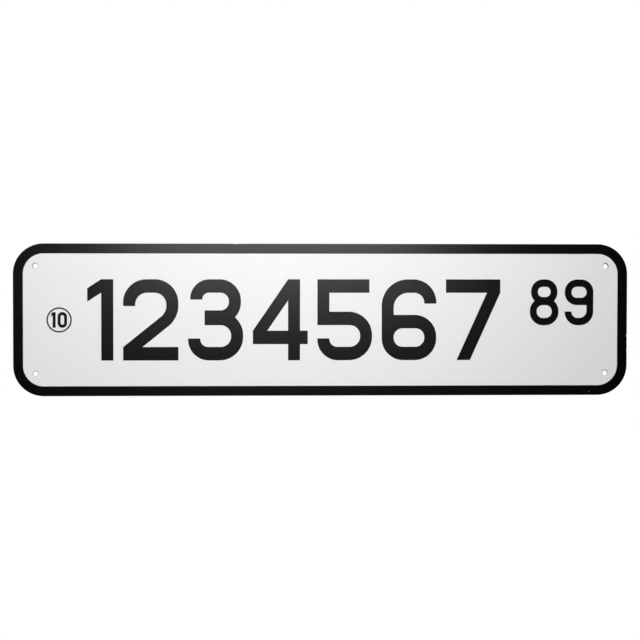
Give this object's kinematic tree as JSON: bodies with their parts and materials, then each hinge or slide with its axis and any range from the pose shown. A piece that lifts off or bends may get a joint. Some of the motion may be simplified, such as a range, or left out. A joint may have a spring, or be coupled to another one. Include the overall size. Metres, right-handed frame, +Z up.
{
  "type": "street name sign",
  "caption": "Flat street name blade: a white sheet with rounded corners, black border, plain black numbers, a small ring emblem and a fixing hole in each corner.",
  "frame": {"origin": "middle of the flat back", "axes": "+X along the blade, to the right as read from the front; +Z up, to the blade's top edge; -Y out of the printed front, +Y out of the back"},
  "size_m": [0.61, 0.0017, 0.1508],
  "materials": {
    "white_enamel": "white gloss enamel on the front, sheared edges, mill finish on the back",
    "black_print": "satin black print"
  },
  "bodies": {
    "root": {"sign_blank": "white_enamel", "border_print": "black_print", "legend_print": "black_print", "emblem_print": "black_print"}
  },
  "joints": []
}
